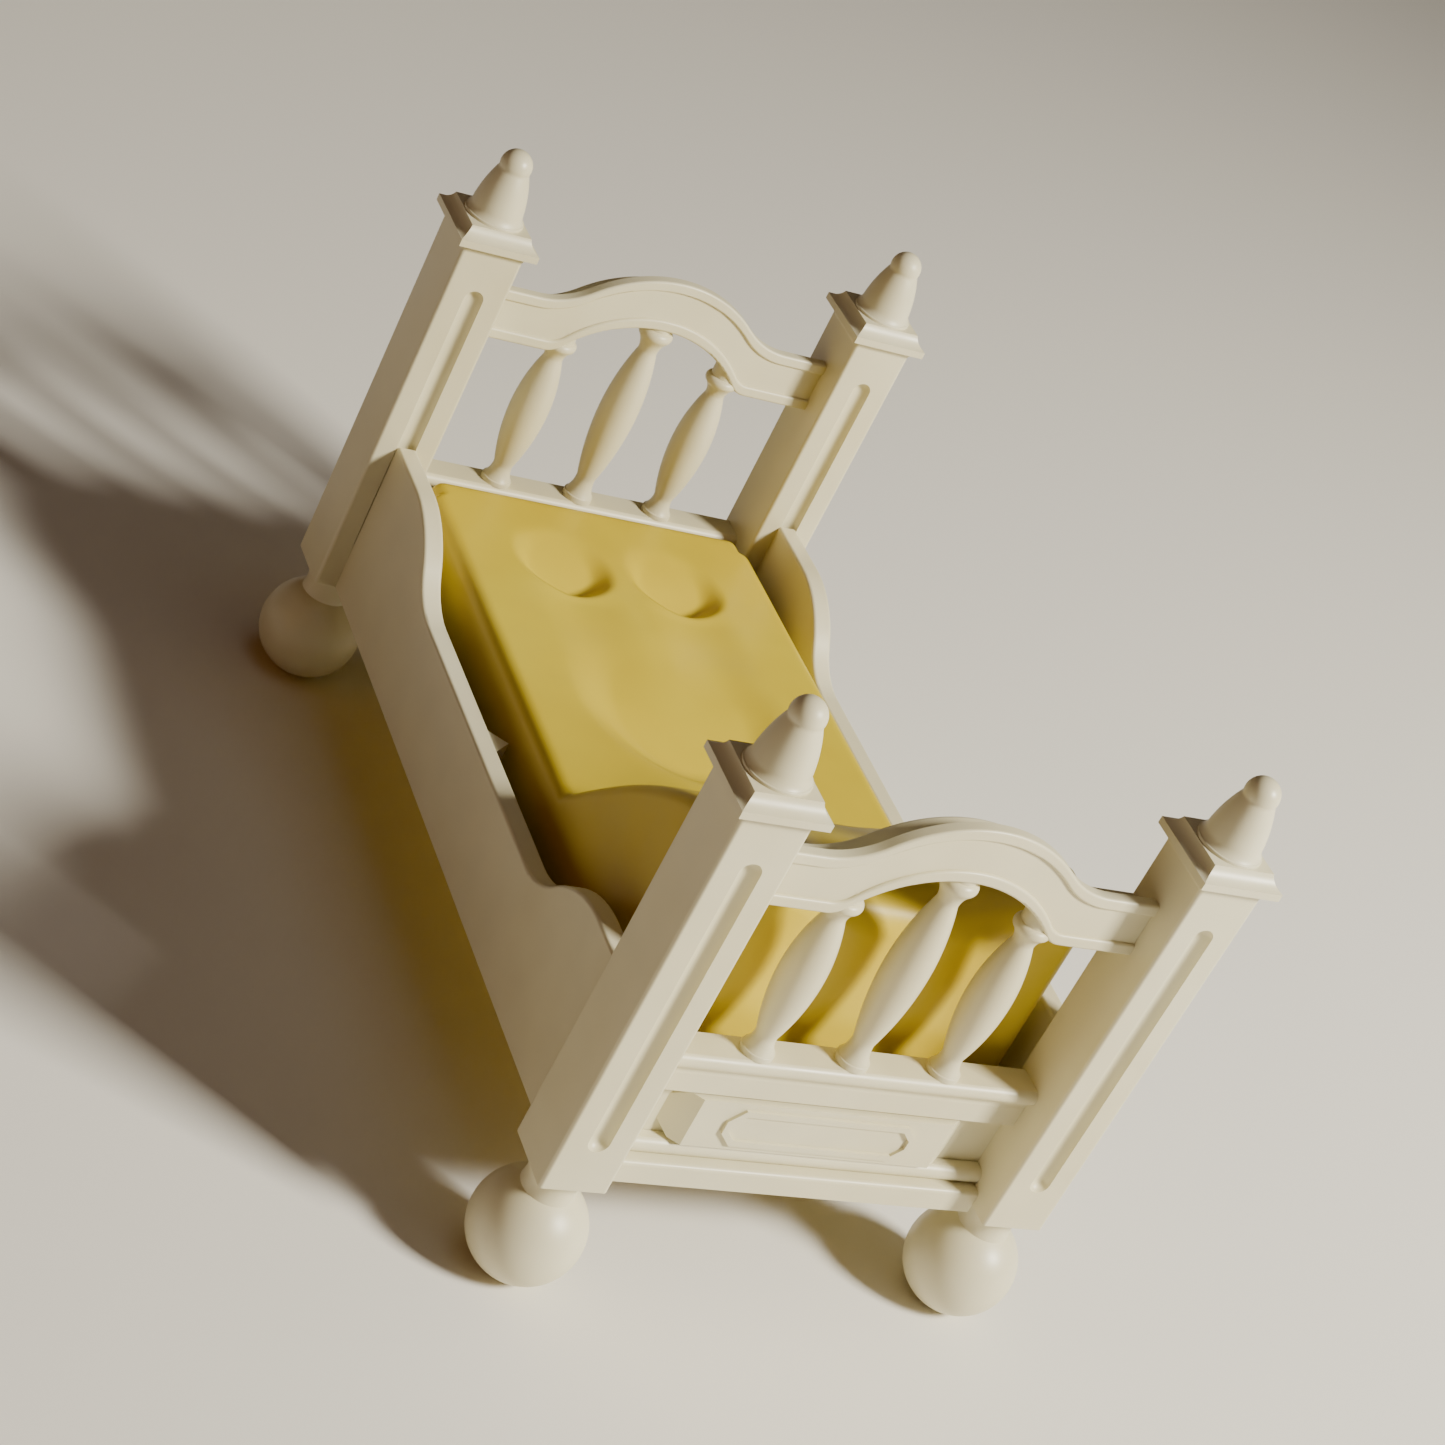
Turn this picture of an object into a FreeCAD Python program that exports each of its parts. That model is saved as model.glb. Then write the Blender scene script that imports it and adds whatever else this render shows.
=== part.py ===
"""A dolls' house bedstead with four posts, two baluster boards and a lift-out mattress insert.

Frame: +Z up, +X to the right as seen from the head end, +Y from the head board to the foot
board. The origin is on the floor, at the middle of the four feet. Millimetres throughout.
"""
import FreeCAD, Part
import math
import os

import Sketcher

DOC = FreeCAD.newDocument("MiniatureBed")
SHEET = DOC.addObject("Spreadsheet::Sheet", "sizes")

# Driving dimensions. Heights are above the floor; "depth" runs along Y and "width" along X.
DIMENSIONS = {
    # plan
    "post_pitch_x": 44.0,
    "post_pitch_y": 83.0,
    # turned feet
    "ball_radius": 5.2,
    "rest_radius": 1.2,
    "neck_waist": 2.5,
    "neck_radius": 2.9,
    "neck_sweep": 3.6,
    # posts
    "post_width": 6.35,
    "post_depth": 6.8,
    "post_bottom": 12.5,
    "post_top": 51.8,
    "post_round": 0.35,
    "cap_overhang": 0.9,
    "cap_cove": 0.85,
    "cap_band": 0.7,
    "cap_slope": 1.15,
    "cap_hollow": 1.6,
    "cap_margin": 0.1,
    "flute_width": 2.0,
    "flute_sink": 0.8,
    "flute_low": 17.0,
    "flute_high": 48.0,
    # finials
    "finial_radius": 3.0,
    "finial_ring": 0.3,
    "finial_height": 7.1,
    "finial_flare": 1.4,
    "finial_flare_high": 1.2,
    "finial_bell_radius": 2.55,
    "finial_bell": 14.0,
    "finial_neck": 1.4,
    "finial_bead": 1.58,
    # pegs and tenons
    "peg_radius": 1.2,
    "peg_length": 3.0,
    "tenon_length": 1.5,
    "tenon_shoulder": 0.7,
    "joint_slack": 0.05,
    # arched top rails
    "arch_depth": 3.9,
    "arch_shoulder_high": 47.5,
    "arch_crown_high": 52.5,
    "arch_shoulder_low": 42.0,
    "arch_crown_low": 47.0,
    "arch_curve_high": 14.0,
    "arch_curve_low": 11.5,
    "arch_bead": 1.15,
    "arch_sink": 0.3,
    "arch_lip": 1.1,
    "arch_fall": 1.6,
    "arch_ease": 0.25,
    "arch_back_ease": 0.4,
    "arch_low_share": 0.15,
    "arch_high_share": 0.36,
    # balusters
    "baluster_pitch": 9.3,
    "baluster_belly": 2.0,
    "baluster_waist": 1.0,
    "baluster_foot": 1.55,
    "baluster_neck": 1.0,
    "baluster_collar": 1.65,
    "baluster_top": 1.35,
    "baluster_setback": 2.3,
    "baluster_peg": 0.7,
    "baluster_peg_length": 1.0,
    "baluster_side_drop": 3.75,
    "foot_share": 0.03,
    "neck_share": 0.12,
    "belly_share": 0.5,
    "waist_share": 0.85,
    "collar_share": 0.93,
    "ring_share": 0.98,
    # middle rails of the boards
    "mid_top": 25.7,
    "mid_fall": 0.9,
    "mid_nose": 1.5,
    "mid_brow": 0.6,
    "mid_bottom": 21.3,
    "mid_depth": 4.15,
    "mid_step": 0.9,
    # panels of the boards
    "panel_back": 0.7,
    "panel_depth": 1.2,
    "panel_field": 1.8,
    "panel_bevel": 2.2,
    "panel_field_inset": 4.2,
    "panel_field_gap": 0.3,
    "panel_field_corner": 1.2,
    "panel_bead_width": 18.8,
    "panel_bead_gap": 0.9,
    "panel_bead_corner": 1.3,
    "panel_bead": 0.6,
    "panel_tongue": 0.7,
    # plinths of the boards
    "plinth_bottom": 11.6,
    "plinth_step": 13.9,
    "plinth_top": 15.5,
    "plinth_depth": 4.3,
    "plinth_nose": 0.7,
    "plinth_ease": 0.4,
    # side rails
    "rail_inset": 2.25,
    "rail_thick": 2.1,
    "rail_bottom": 12.5,
    "rail_top": 23.6,
    "rail_ear": 29.7,
    "rail_ear_start": 17.0,
    "rail_ear_end": 31.0,
    "rail_ear_share": 0.4,
    "rail_round": 0.35,
    "ledge_width": 3.6,
    "ledge_height": 1.7,
    "ledge_end_gap": 3.0,
    "catch_reach": 1.8,
    "catch_length": 3.2,
    "catch_offset": 0.8,
    "catch_height": 2.0,
    # mattress insert
    "insert_gap_side": 0.4,
    "insert_gap_head": 1.2,
    "insert_gap_foot": 1.2,
    "insert_gap_cap": 0.3,
    "insert_top": 26.6,
    "insert_wall": 1.2,
    "pillow_start": 27.5,
    "pillow_crest_from_head": 7.2,
    "pillow_crest_high": 41.7,
    "pillow_crest_bow": 4.5,
    "pillow_back_high": 39.5,
    "seat_radius": 12.4,
    "seat_sink": 2.5,
    "seat_from_head": 43.2,
    "heel_radius": 5.6,
    "heel_sink": 1.3,
    "heel_pitch": 12.6,
    "heel_from_foot": 11.2,
}


class Size:
    """A length that carries its number and the sheet expression that gives it."""

    def __init__(self, text, value):
        self.text = text
        self.value = value

    def __add__(self, other):
        other = as_size(other)
        return Size(f"({self.text} + {other.text})", self.value + other.value)

    def __sub__(self, other):
        other = as_size(other)
        return Size(f"({self.text} - {other.text})", self.value - other.value)

    def __mul__(self, other):
        other = as_size(other)
        return Size(f"({self.text} * {other.text})", self.value * other.value)

    def __truediv__(self, other):
        other = as_size(other)
        return Size(f"({self.text} / {other.text})", self.value / other.value)

    def __neg__(self):
        return Size(f"(0 - {self.text})", -self.value)

    def __radd__(self, other):
        return as_size(other) + self

    def __rsub__(self, other):
        return as_size(other) - self

    def __rmul__(self, other):
        return as_size(other) * self


def as_size(number):
    """Gives a plain number the same form as a named size."""
    if isinstance(number, Size):
        return number
    return Size(f"({number})", float(number))


def root(length):
    """The square root of a size."""
    return Size(f"sqrt({length.text})", math.sqrt(length.value))


def fill_sheet():
    """Writes each driving dimension to its own named cell."""
    for row, (name, value) in enumerate(DIMENSIONS.items(), start=1):
        SHEET.set(f"A{row}", name)
        SHEET.set(f"B{row}", str(value))
        SHEET.setAlias(f"B{row}", name)
    DOC.recompute()


def size(name):
    """Looks up one driving dimension."""
    return Size(f"sizes.{name}", DIMENSIONS[name])


def bind(item, prop, length):
    """Ties a property of an object to a size."""
    item.setExpression(prop, as_size(length).text)


def place(item, x=0, y=0, z=0):
    """Ties an object's position to three sizes."""
    bind(item, "Placement.Base.x", x)
    bind(item, "Placement.Base.y", y)
    bind(item, "Placement.Base.z", z)


# Shapes ----------------------------------------------------------------------------------


def draw_outline(sketch, corners):
    """Draws a closed outline. A corner is (x, y) or (x, y, radius), where the radius rounds the
    edge that leaves the corner: positive bows it to its right, negative to its left."""
    points = [(as_size(corner[0]), as_size(corner[1])) for corner in corners]
    radii = [as_size(corner[2]) if len(corner) == 3 else None for corner in corners]
    ends = []
    for index, radius in enumerate(radii):
        following = points[(index + 1) % len(points)]
        start = FreeCAD.Vector(points[index][0].value, points[index][1].value, 0)
        finish = FreeCAD.Vector(following[0].value, following[1].value, 0)
        if radius is None:
            sketch.addGeometry(Part.LineSegment(start, finish), False)
            ends.append((1, 2))
        elif radius.value > 0:
            sketch.addGeometry(arc_bowed_right(start, finish, radius.value), False)
            ends.append((1, 2))
        else:
            sketch.addGeometry(arc_bowed_right(finish, start, -radius.value), False)
            ends.append((2, 1))
    for index, (_, leaving) in enumerate(ends):
        following = (index + 1) % len(ends)
        sketch.addConstraint(Sketcher.Constraint(
            "Coincident", index, leaving, following, ends[following][0]))
    for index, radius in enumerate(radii):
        fix_coordinate(sketch, "DistanceX", -2, index, ends[index][0], points[index][0])
        fix_coordinate(sketch, "DistanceY", -1, index, ends[index][0], points[index][1])
        if radius is not None:
            sign = math.copysign(1, radius.value)
            number = sketch.addConstraint(
                Sketcher.Constraint("Radius", index, abs(radius.value)))
            bind(sketch, f"Constraints[{number}]", radius * sign)


def arc_bowed_right(start, finish, radius):
    """Makes the shorter arc between two points that bows to the right of the way there."""
    chord = finish - start
    apothem = math.sqrt(max(radius * radius - chord.Length * chord.Length / 4, 0))
    right = FreeCAD.Vector(chord.y, -chord.x, 0).normalize()
    centre = (start + finish) / 2 - right * apothem
    return Part.Arc(start, centre + right * radius, finish)


def fix_coordinate(sketch, kind, axis, edge, end, length):
    """Holds one coordinate of an edge's end to a size, or to the axis where it is zero."""
    if length.value == 0:
        sketch.addConstraint(Sketcher.Constraint("PointOnObject", edge, end, axis))
        return
    number = sketch.addConstraint(Sketcher.Constraint(kind, edge, end, length.value))
    bind(sketch, f"Constraints[{number}]", length)


def origin_plane(body, role):
    """Finds one of a body's own origin planes."""
    for feature in body.Origin.OriginFeatures:
        if feature.Role == role:
            return feature
    raise ValueError(role)


def body_sketch(body, role, corners):
    """Adds a sketch with the given outline on one of a body's origin planes."""
    sketch = body.newObject("Sketcher::SketchObject", body.Name + "_outline")
    sketch.AttachmentSupport = [(origin_plane(body, role), "")]
    sketch.MapMode = "FlatFace"
    draw_outline(sketch, corners)
    return sketch


def turned(name, corners):
    """Turns a half outline, given as (radius, height), about the vertical axis."""
    body = DOC.addObject("PartDesign::Body", name)
    sketch = body_sketch(body, "XZ_Plane", corners)
    revolution = body.newObject("PartDesign::Revolution", name + "_turned")
    revolution.Profile = sketch
    revolution.ReferenceAxis = (sketch, ["V_Axis"])
    revolution.Angle = 360
    sketch.Visibility = False
    return body


def run_along_x(name, corners, length):
    """Makes a straight moulding: a (Y, Z) section carried along X, centred on X = 0."""
    body = DOC.addObject("PartDesign::Body", name)
    sketch = body_sketch(body, "YZ_Plane", corners)
    pad = body.newObject("PartDesign::Pad", name + "_run")
    pad.Profile = sketch
    pad.Midplane = True
    bind(pad, "Length", length)
    return body


def plate_facing_y(name, corners, depth):
    """Makes a plate from an (X, Z) outline, with its back on Y = 0 and its face at -depth."""
    body = DOC.addObject("PartDesign::Body", name)
    sketch = body_sketch(body, "XZ_Plane", corners)
    pad = body.newObject("PartDesign::Pad", name + "_plate")
    pad.Profile = sketch
    bind(pad, "Length", depth)
    return body


def plate_facing_x(name, corners, depth):
    """Makes a plate from a (Y, Z) outline that fills X from 0 to depth."""
    body = DOC.addObject("PartDesign::Body", name)
    sketch = body_sketch(body, "YZ_Plane", corners)
    pad = body.newObject("PartDesign::Pad", name + "_plate")
    pad.Profile = sketch
    bind(pad, "Length", depth)
    return body


def plate_facing_up(name, corners, height):
    """Makes a level plate from an (X, Y) outline that fills Z from 0 to height."""
    body = DOC.addObject("PartDesign::Body", name)
    sketch = body_sketch(body, "XY_Plane", corners)
    pad = body.newObject("PartDesign::Pad", name + "_plate")
    pad.Profile = sketch
    bind(pad, "Length", height)
    return body


def block(name, x0, x1, y0, y1, z0, z1):
    """Makes a box between two corners."""
    box = DOC.addObject("Part::Box", name)
    bind(box, "Length", as_size(x1) - x0)
    bind(box, "Width", as_size(y1) - y0)
    bind(box, "Height", as_size(z1) - z0)
    place(box, x0, y0, z0)
    return box


def rod(name, radius, height, x, y, z):
    """Makes an upright cylinder that stands on the given point."""
    cylinder = DOC.addObject("Part::Cylinder", name)
    bind(cylinder, "Radius", radius)
    bind(cylinder, "Height", height)
    place(cylinder, x, y, z)
    return cylinder


def ball(name, radius, x, y, z):
    """Makes a sphere about the given point."""
    sphere = DOC.addObject("Part::Sphere", name)
    bind(sphere, "Radius", radius)
    place(sphere, x, y, z)
    return sphere


def joined(name, shapes):
    """Fuses several shapes into one solid."""
    fuse = DOC.addObject("Part::MultiFuse", name)
    fuse.Shapes = shapes
    fuse.Refine = True
    return fuse


def cut(name, base, tools):
    """Cuts one or more shapes out of a base and checks that something came away."""
    tool = tools[0]
    if len(tools) > 1:
        tool = joined(name + "_tools", tools)
    result = DOC.addObject("Part::Cut", name)
    result.Base = base
    result.Tool = tool
    DOC.recompute()
    if result.Shape.Volume > base.Shape.Volume - 1e-6:
        raise RuntimeError(f"{name}: nothing was cut away")
    return result


def rounded(name, base, radius, chosen):
    """Rounds the edges of a shape that the chosen test picks out."""
    DOC.recompute()
    fillet = DOC.addObject("Part::Fillet", name)
    fillet.Base = base
    numbers = []
    for number, edge in enumerate(base.Shape.Edges, start=1):
        if chosen(edge):
            numbers.append((number, radius.value, radius.value))
    if not numbers:
        raise RuntimeError(f"{name}: no edge to round")
    fillet.Edges = numbers
    return fillet


def s_curve(x0, z0, x1, z1, share):
    """Two tangent arcs between level ends. Gives the point where they meet and both radii;
    the first arc takes the given share of the run."""
    run = as_size(x1) - x0
    rise = as_size(z1) - z0
    reach = (run * run + rise * rise) / (rise * 2)
    return x0 + run * share, z0 + rise * share, reach * share, reach * (1 - share)


def mirrored(right_side, closing=None):
    """Completes an outline about the vertical axis. The right side is listed from the bottom
    up; the radius of its last corner rounds the edge across the top, and closing rounds the
    edge across the bottom."""
    outline = list(right_side)
    for index in range(len(right_side) - 1, -1, -1):
        corner = right_side[index]
        radius = closing
        if index > 0:
            before = right_side[index - 1]
            radius = before[2] if len(before) == 3 else None
        left = (-as_size(corner[0]), corner[1])
        if radius is not None:
            left = (*left, radius)
        outline.append(left)
    return outline


# Shared places ---------------------------------------------------------------------------
# A tenon fills its rail's thickness from TENON_FROM to TENON_TO. An arc whose radius is
# HALF_ROUND times its chord is almost a half round, and RING_ROUND does the same for the ring of
# a baluster, which is narrower above than below. A cutting tool runs PAST the face it opens, and
# two faces less than NEAR apart are one.

fill_sheet()

HALF_X = size("post_pitch_x") / 2
HALF_Y = size("post_pitch_y") / 2
POST_HALF_WIDTH = size("post_width") / 2
POST_HALF_DEPTH = size("post_depth") / 2
BOARD_HALF = HALF_X - POST_HALF_WIDTH
RAIL_HALF = HALF_Y - POST_HALF_DEPTH
SLACK = size("joint_slack")
TENON = size("tenon_length")
SHOULDER = size("tenon_shoulder")
CAP_BAND_TOP = size("post_top") + size("cap_cove") + size("cap_band")
CAP_TOP = CAP_BAND_TOP + size("cap_slope")
LEDGE_TOP = size("rail_bottom") + size("ledge_height")
TENON_FROM = 0.25
TENON_TO = 0.75
HALF_ROUND = 0.53
RING_ROUND = 0.65
PAST = 1.0
NEAR = 0.01
ENDS = (("head", -1), ("foot", 1))
SIDES = (("left", -1), ("right", 1))


# Turned pieces ---------------------------------------------------------------------------


def ball_foot(name):
    """A ball with a small flat to stand on, a hollow neck and a peg into the post."""
    radius = size("ball_radius")
    centre = root(radius * radius - size("rest_radius") * size("rest_radius"))
    waist = centre + root(radius * radius - size("neck_waist") * size("neck_waist"))
    peg_top = size("post_bottom") + size("peg_length")
    return turned(name, [
        (0, 0),
        (size("rest_radius"), 0, radius),
        (size("neck_waist"), waist, -size("neck_sweep")),
        (size("neck_radius"), size("post_bottom")),
        (size("peg_radius"), size("post_bottom")),
        (size("peg_radius"), peg_top),
        (0, peg_top),
    ])


def finial(name):
    """A finial with a flared base, a bell above it and a round bead that meets the bell in a
    narrow neck."""
    bead = size("finial_bead")
    neck = size("finial_height") - bead - root(
        bead * bead - size("finial_neck") * size("finial_neck"))
    return turned(name, [
        (0, -size("peg_length")),
        (size("peg_radius"), -size("peg_length")),
        (size("peg_radius"), 0),
        (size("finial_radius"), 0),
        (size("finial_radius"), size("finial_ring"), -size("finial_flare")),
        (size("finial_bell_radius"), size("finial_flare_high"), size("finial_bell")),
        (size("finial_neck"), neck, bead),
        (0, size("finial_height")),
    ])


def upright_sweep(start, upright):
    """The radius of an arc between two outline points that runs straight up at the second."""
    run = upright[0] - start[0]
    rise = upright[1] - start[1]
    sweep = (run * run + rise * rise) / (run * 2)
    return sweep if sweep.value > 0 else -sweep


def baluster(name, height, mould):
    """A vase-turned baluster with a bottom peg, coped at the top to the arch above it."""
    foot = (size("baluster_foot"), height * size("foot_share"))
    neck = (size("baluster_neck"), height * size("neck_share"))
    belly = (size("baluster_belly"), height * size("belly_share"))
    waist = (size("baluster_waist"), height * size("waist_share"))
    collar = (size("baluster_collar"), height * size("collar_share"))
    ring = (size("baluster_top"), height * size("ring_share"))
    ring_height = ring[1] - collar[1]
    overrun = height + (size("arch_crown_high") - size("arch_crown_low")) / 2
    stem = turned(name + "_stem", [
        (0, -size("baluster_peg_length")),
        (size("baluster_peg"), -size("baluster_peg_length")),
        (size("baluster_peg"), 0),
        (size("baluster_foot"), 0),
        (*foot, -upright_sweep(foot, neck)),
        (*neck, upright_sweep(neck, belly)),
        (*belly, upright_sweep(waist, belly)),
        (*waist, -upright_sweep(collar, waist)),
        (*collar, ring_height * RING_ROUND),
        ring,
        (size("baluster_top"), overrun),
        (0, overrun),
    ])
    return cut(name, stem, [mould])


# Posts -----------------------------------------------------------------------------------


def post_outline(half):
    """The outline of a post and its cap, seen square on, for a shaft of the given half width."""
    rim = half + size("cap_overhang")
    return mirrored([
        (half, size("post_bottom")),
        (half, size("post_top"), -size("cap_overhang")),
        (rim, size("post_top") + size("cap_cove")),
        (rim, CAP_BAND_TOP, -size("cap_hollow")),
        (size("finial_radius") + size("cap_margin"), CAP_TOP),
    ])


def post_mortises(name, end, side):
    """The mortises that take the board rails and the side rail, for one of the four posts."""
    back = POST_HALF_DEPTH
    reach = TENON + SLACK
    inner = sorted((-side * POST_HALF_WIDTH, -side * (POST_HALF_WIDTH - reach)),
                   key=lambda length: length.value)
    tools = []
    for rail, depth, low, high in board_tenons():
        tools.append(block(
            f"{name}_{rail}_mortise", inner[0], inner[1],
            back - depth * TENON_TO - SLACK, back - depth * TENON_FROM + SLACK,
            low - SLACK, high + SLACK))
    face = sorted((-end * POST_HALF_DEPTH, -end * (POST_HALF_DEPTH - reach)),
                  key=lambda length: length.value)
    low_x, high_x = rail_tenon_x(side)
    tools.append(block(
        f"{name}_side_mortise", low_x - SLACK, high_x + SLACK, face[0], face[1],
        size("rail_bottom") + SHOULDER - SLACK, size("rail_top") - SHOULDER + SLACK))
    return tools


def board_tenons():
    """The three board rails that are tenoned into the posts: depth, low and high of each."""
    return (
        ("arch", size("arch_depth"), size("arch_shoulder_low") + SHOULDER,
         size("arch_shoulder_high") - size("arch_fall") - SHOULDER),
        ("mid", size("mid_depth"), size("mid_bottom") + SHOULDER,
         size("mid_top") - size("mid_fall") - SHOULDER),
        ("plinth", size("plinth_depth"), size("post_bottom") + SHOULDER,
         size("plinth_top") - SHOULDER),
    )


def rail_tenon_x(side):
    """Where a side rail's tenon lies across X, measured from the middle of its post."""
    outer = (POST_HALF_WIDTH - size("rail_inset") - size("rail_thick") * TENON_FROM) * side
    inner = (POST_HALF_WIDTH - size("rail_inset") - size("rail_thick") * TENON_TO) * side
    return sorted((outer, inner), key=lambda length: length.value)


def post(name, end, side):
    """A square post with a moulded cap, a round-ended flute on its head-side face, and the
    sockets and mortises for everything that joins it."""
    span = size("post_width") * 3
    profiles = []
    for view, role, half in (("front", "XZ_Plane", POST_HALF_WIDTH),
                             ("side", "YZ_Plane", POST_HALF_DEPTH)):
        body = DOC.addObject("PartDesign::Body", f"{name}_{view}")
        sketch = body_sketch(body, role, post_outline(half))
        pad = body.newObject("PartDesign::Pad", f"{name}_{view}_pad")
        pad.Profile = sketch
        pad.Midplane = True
        bind(pad, "Length", span)
        profiles.append(body)
    shaft = DOC.addObject("Part::Common", name + "_shaft")
    shaft.Base, shaft.Tool = profiles
    eased = rounded(name + "_eased", shaft, size("post_round"), is_shaft_edge)

    flute_half = size("flute_width") / 2
    sink = size("flute_sink")
    hollow = (flute_half * flute_half + sink * sink) / (sink * 2)
    axis = sink - hollow - POST_HALF_DEPTH
    low = size("flute_low") + flute_half
    high = size("flute_high") - flute_half
    tools = [rod(name + "_flute", hollow, high - low, 0, axis, low)]
    for label, height in (("low", low), ("high", high)):
        tools.append(ball(f"{name}_flute_{label}", hollow, 0, axis, height))
    bore = size("peg_radius") + SLACK
    bore_depth = size("peg_length") + SLACK
    tools.append(rod(name + "_foot_bore", bore, bore_depth, 0, 0, size("post_bottom")))
    tools.append(rod(name + "_finial_bore", bore, bore_depth, 0, 0, CAP_TOP - bore_depth))
    return cut(name, eased, tools + post_mortises(name, end, side))


def is_shaft_edge(edge):
    """Picks the four long upright edges of a post."""
    low, high = edge.BoundBox.ZMin, edge.BoundBox.ZMax
    return high - low > (size("post_top") - size("post_bottom")).value * 0.9


# Boards ----------------------------------------------------------------------------------


def arch_outline(low_inset=0, high_inset=0, overrun=0):
    """The outline of an arched rail, drawn in at its lower and upper edges by the insets."""
    low = s_curve(size("arch_curve_low"), size("arch_shoulder_low") + low_inset,
                  as_size(0), size("arch_crown_low") + low_inset, size("arch_low_share"))
    high = s_curve(size("arch_curve_high"), size("arch_shoulder_high") - high_inset,
                   as_size(0), size("arch_crown_high") - high_inset,
                   size("arch_high_share"))
    end = BOARD_HALF + overrun
    return mirrored([
        (low[0], low[1], low[2]),
        (size("arch_curve_low"), size("arch_shoulder_low") + low_inset),
        (end, size("arch_shoulder_low") + low_inset),
        (end, size("arch_shoulder_high") - high_inset),
        (size("arch_curve_high"), size("arch_shoulder_high") - high_inset, -high[2]),
        (high[0], high[1], high[3]),
    ], closing=-low[3])


def tenons(name, rail):
    """A pair of tenons for one board rail, one at each end."""
    for label, depth, low, high in board_tenons():
        if label == rail:
            break
    pieces = []
    for side_name, side in SIDES:
        ends = sorted((side * BOARD_HALF, side * (BOARD_HALF + TENON)),
                      key=lambda length: length.value)
        pieces.append(block(f"{name}_{side_name}_tenon", ends[0], ends[1],
                            -depth * TENON_TO, -depth * TENON_FROM, low, high))
    return pieces


def arch_rail(name):
    """An arched top rail. Its face has a sunk field between two beads, and behind the face
    the rail is a little lower, which leaves the upper bead as a lip."""
    depth = size("arch_depth")
    lip = size("arch_lip")
    bead = size("arch_bead")
    front = plate_facing_y(name + "_front", arch_outline(), lip)
    place(front, 0, lip - depth, 0)
    field = plate_facing_y(name + "_field", arch_outline(bead, bead, PAST), depth)
    place(field, 0, size("arch_sink") - depth, 0)
    sunk = cut(name + "_sunk", front, [field])
    eased = rounded(name + "_eased", sunk, size("arch_ease"),
                    lambda edge: runs_across(edge, -depth.value))
    rear = plate_facing_y(name + "_rear", arch_outline(0, size("arch_fall")), depth - lip)
    eased_rear = rounded(name + "_eased_rear", rear, size("arch_back_ease"),
                         lambda edge: runs_across(edge, 0))
    return joined(name, [eased, eased_rear] + tenons(name, "arch"))


def runs_across(edge, y):
    """Tells whether an edge lies in the plane of the given Y and isn't upright."""
    box = edge.BoundBox
    return max(abs(box.YMin - y), abs(box.YMax - y)) < NEAR and box.XLength > NEAR


def mid_rail(name):
    """The middle rail: a half-round nose over a cove, grooved beneath for the panel."""
    front = -size("mid_depth")
    brow = front + size("mid_brow")
    face = front + size("mid_step")
    under = size("mid_top") - size("mid_nose")
    groove = panel_groove()
    section = run_along_x(name + "_run", [
        (face, size("mid_bottom")),
        (groove[0], size("mid_bottom")),
        (groove[0], size("mid_bottom") + size("panel_tongue") + SLACK),
        (groove[1], size("mid_bottom") + size("panel_tongue") + SLACK),
        (groove[1], size("mid_bottom")),
        (0, size("mid_bottom")),
        (0, size("mid_top") - size("mid_fall")),
        (size("baluster_foot") - size("baluster_setback"), size("mid_top")),
        (brow, size("mid_top"), size("mid_nose") * HALF_ROUND),
        (brow, under, -size("mid_step")),
        (face, under - size("mid_step")),
    ], BOARD_HALF * 2)
    solid = joined(name + "_solid", [section] + tenons(name, "mid"))
    sockets = []
    for label, offset in baluster_places():
        sockets.append(rod(
            f"{name}_{label}_socket", size("baluster_peg") + SLACK,
            size("baluster_peg_length") + SLACK, offset, -size("baluster_setback"),
            size("mid_top") - size("baluster_peg_length") - SLACK))
    return cut(name, solid, sockets)


def plinth(name):
    """The bottom rail of a board: a deep lower member and a rounded upper one."""
    front = -size("plinth_depth")
    step = front + size("plinth_nose")
    groove = panel_groove()
    bead = size("plinth_top") - size("plinth_step")
    section = run_along_x(name + "_run", [
        (front, size("plinth_bottom")),
        (0, size("plinth_bottom")),
        (0, size("plinth_top")),
        (groove[1], size("plinth_top")),
        (groove[1], size("plinth_top") - size("panel_tongue") - SLACK),
        (groove[0], size("plinth_top") - size("panel_tongue") - SLACK),
        (groove[0], size("plinth_top")),
        (step + bead / 2, size("plinth_top"), bead * HALF_ROUND),
        (step + bead / 2, size("plinth_step")),
        (front + size("plinth_ease"), size("plinth_step"), size("plinth_ease")),
        (front, size("plinth_step") - size("plinth_ease")),
    ], BOARD_HALF * 2)
    return joined(name, [section] + tenons(name, "plinth"))


def panel_groove():
    """Where the panel's tongues run in the rails above and below it: front and back in Y."""
    back = -size("panel_back")
    return back - size("panel_depth") - SLACK, back + SLACK


def octagon(half, low, high, chamfer):
    """An outline with its four corners cut off."""
    return mirrored([
        (half - chamfer, low),
        (half, low + chamfer),
        (half, high - chamfer),
        (half - chamfer, high),
    ])


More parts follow.
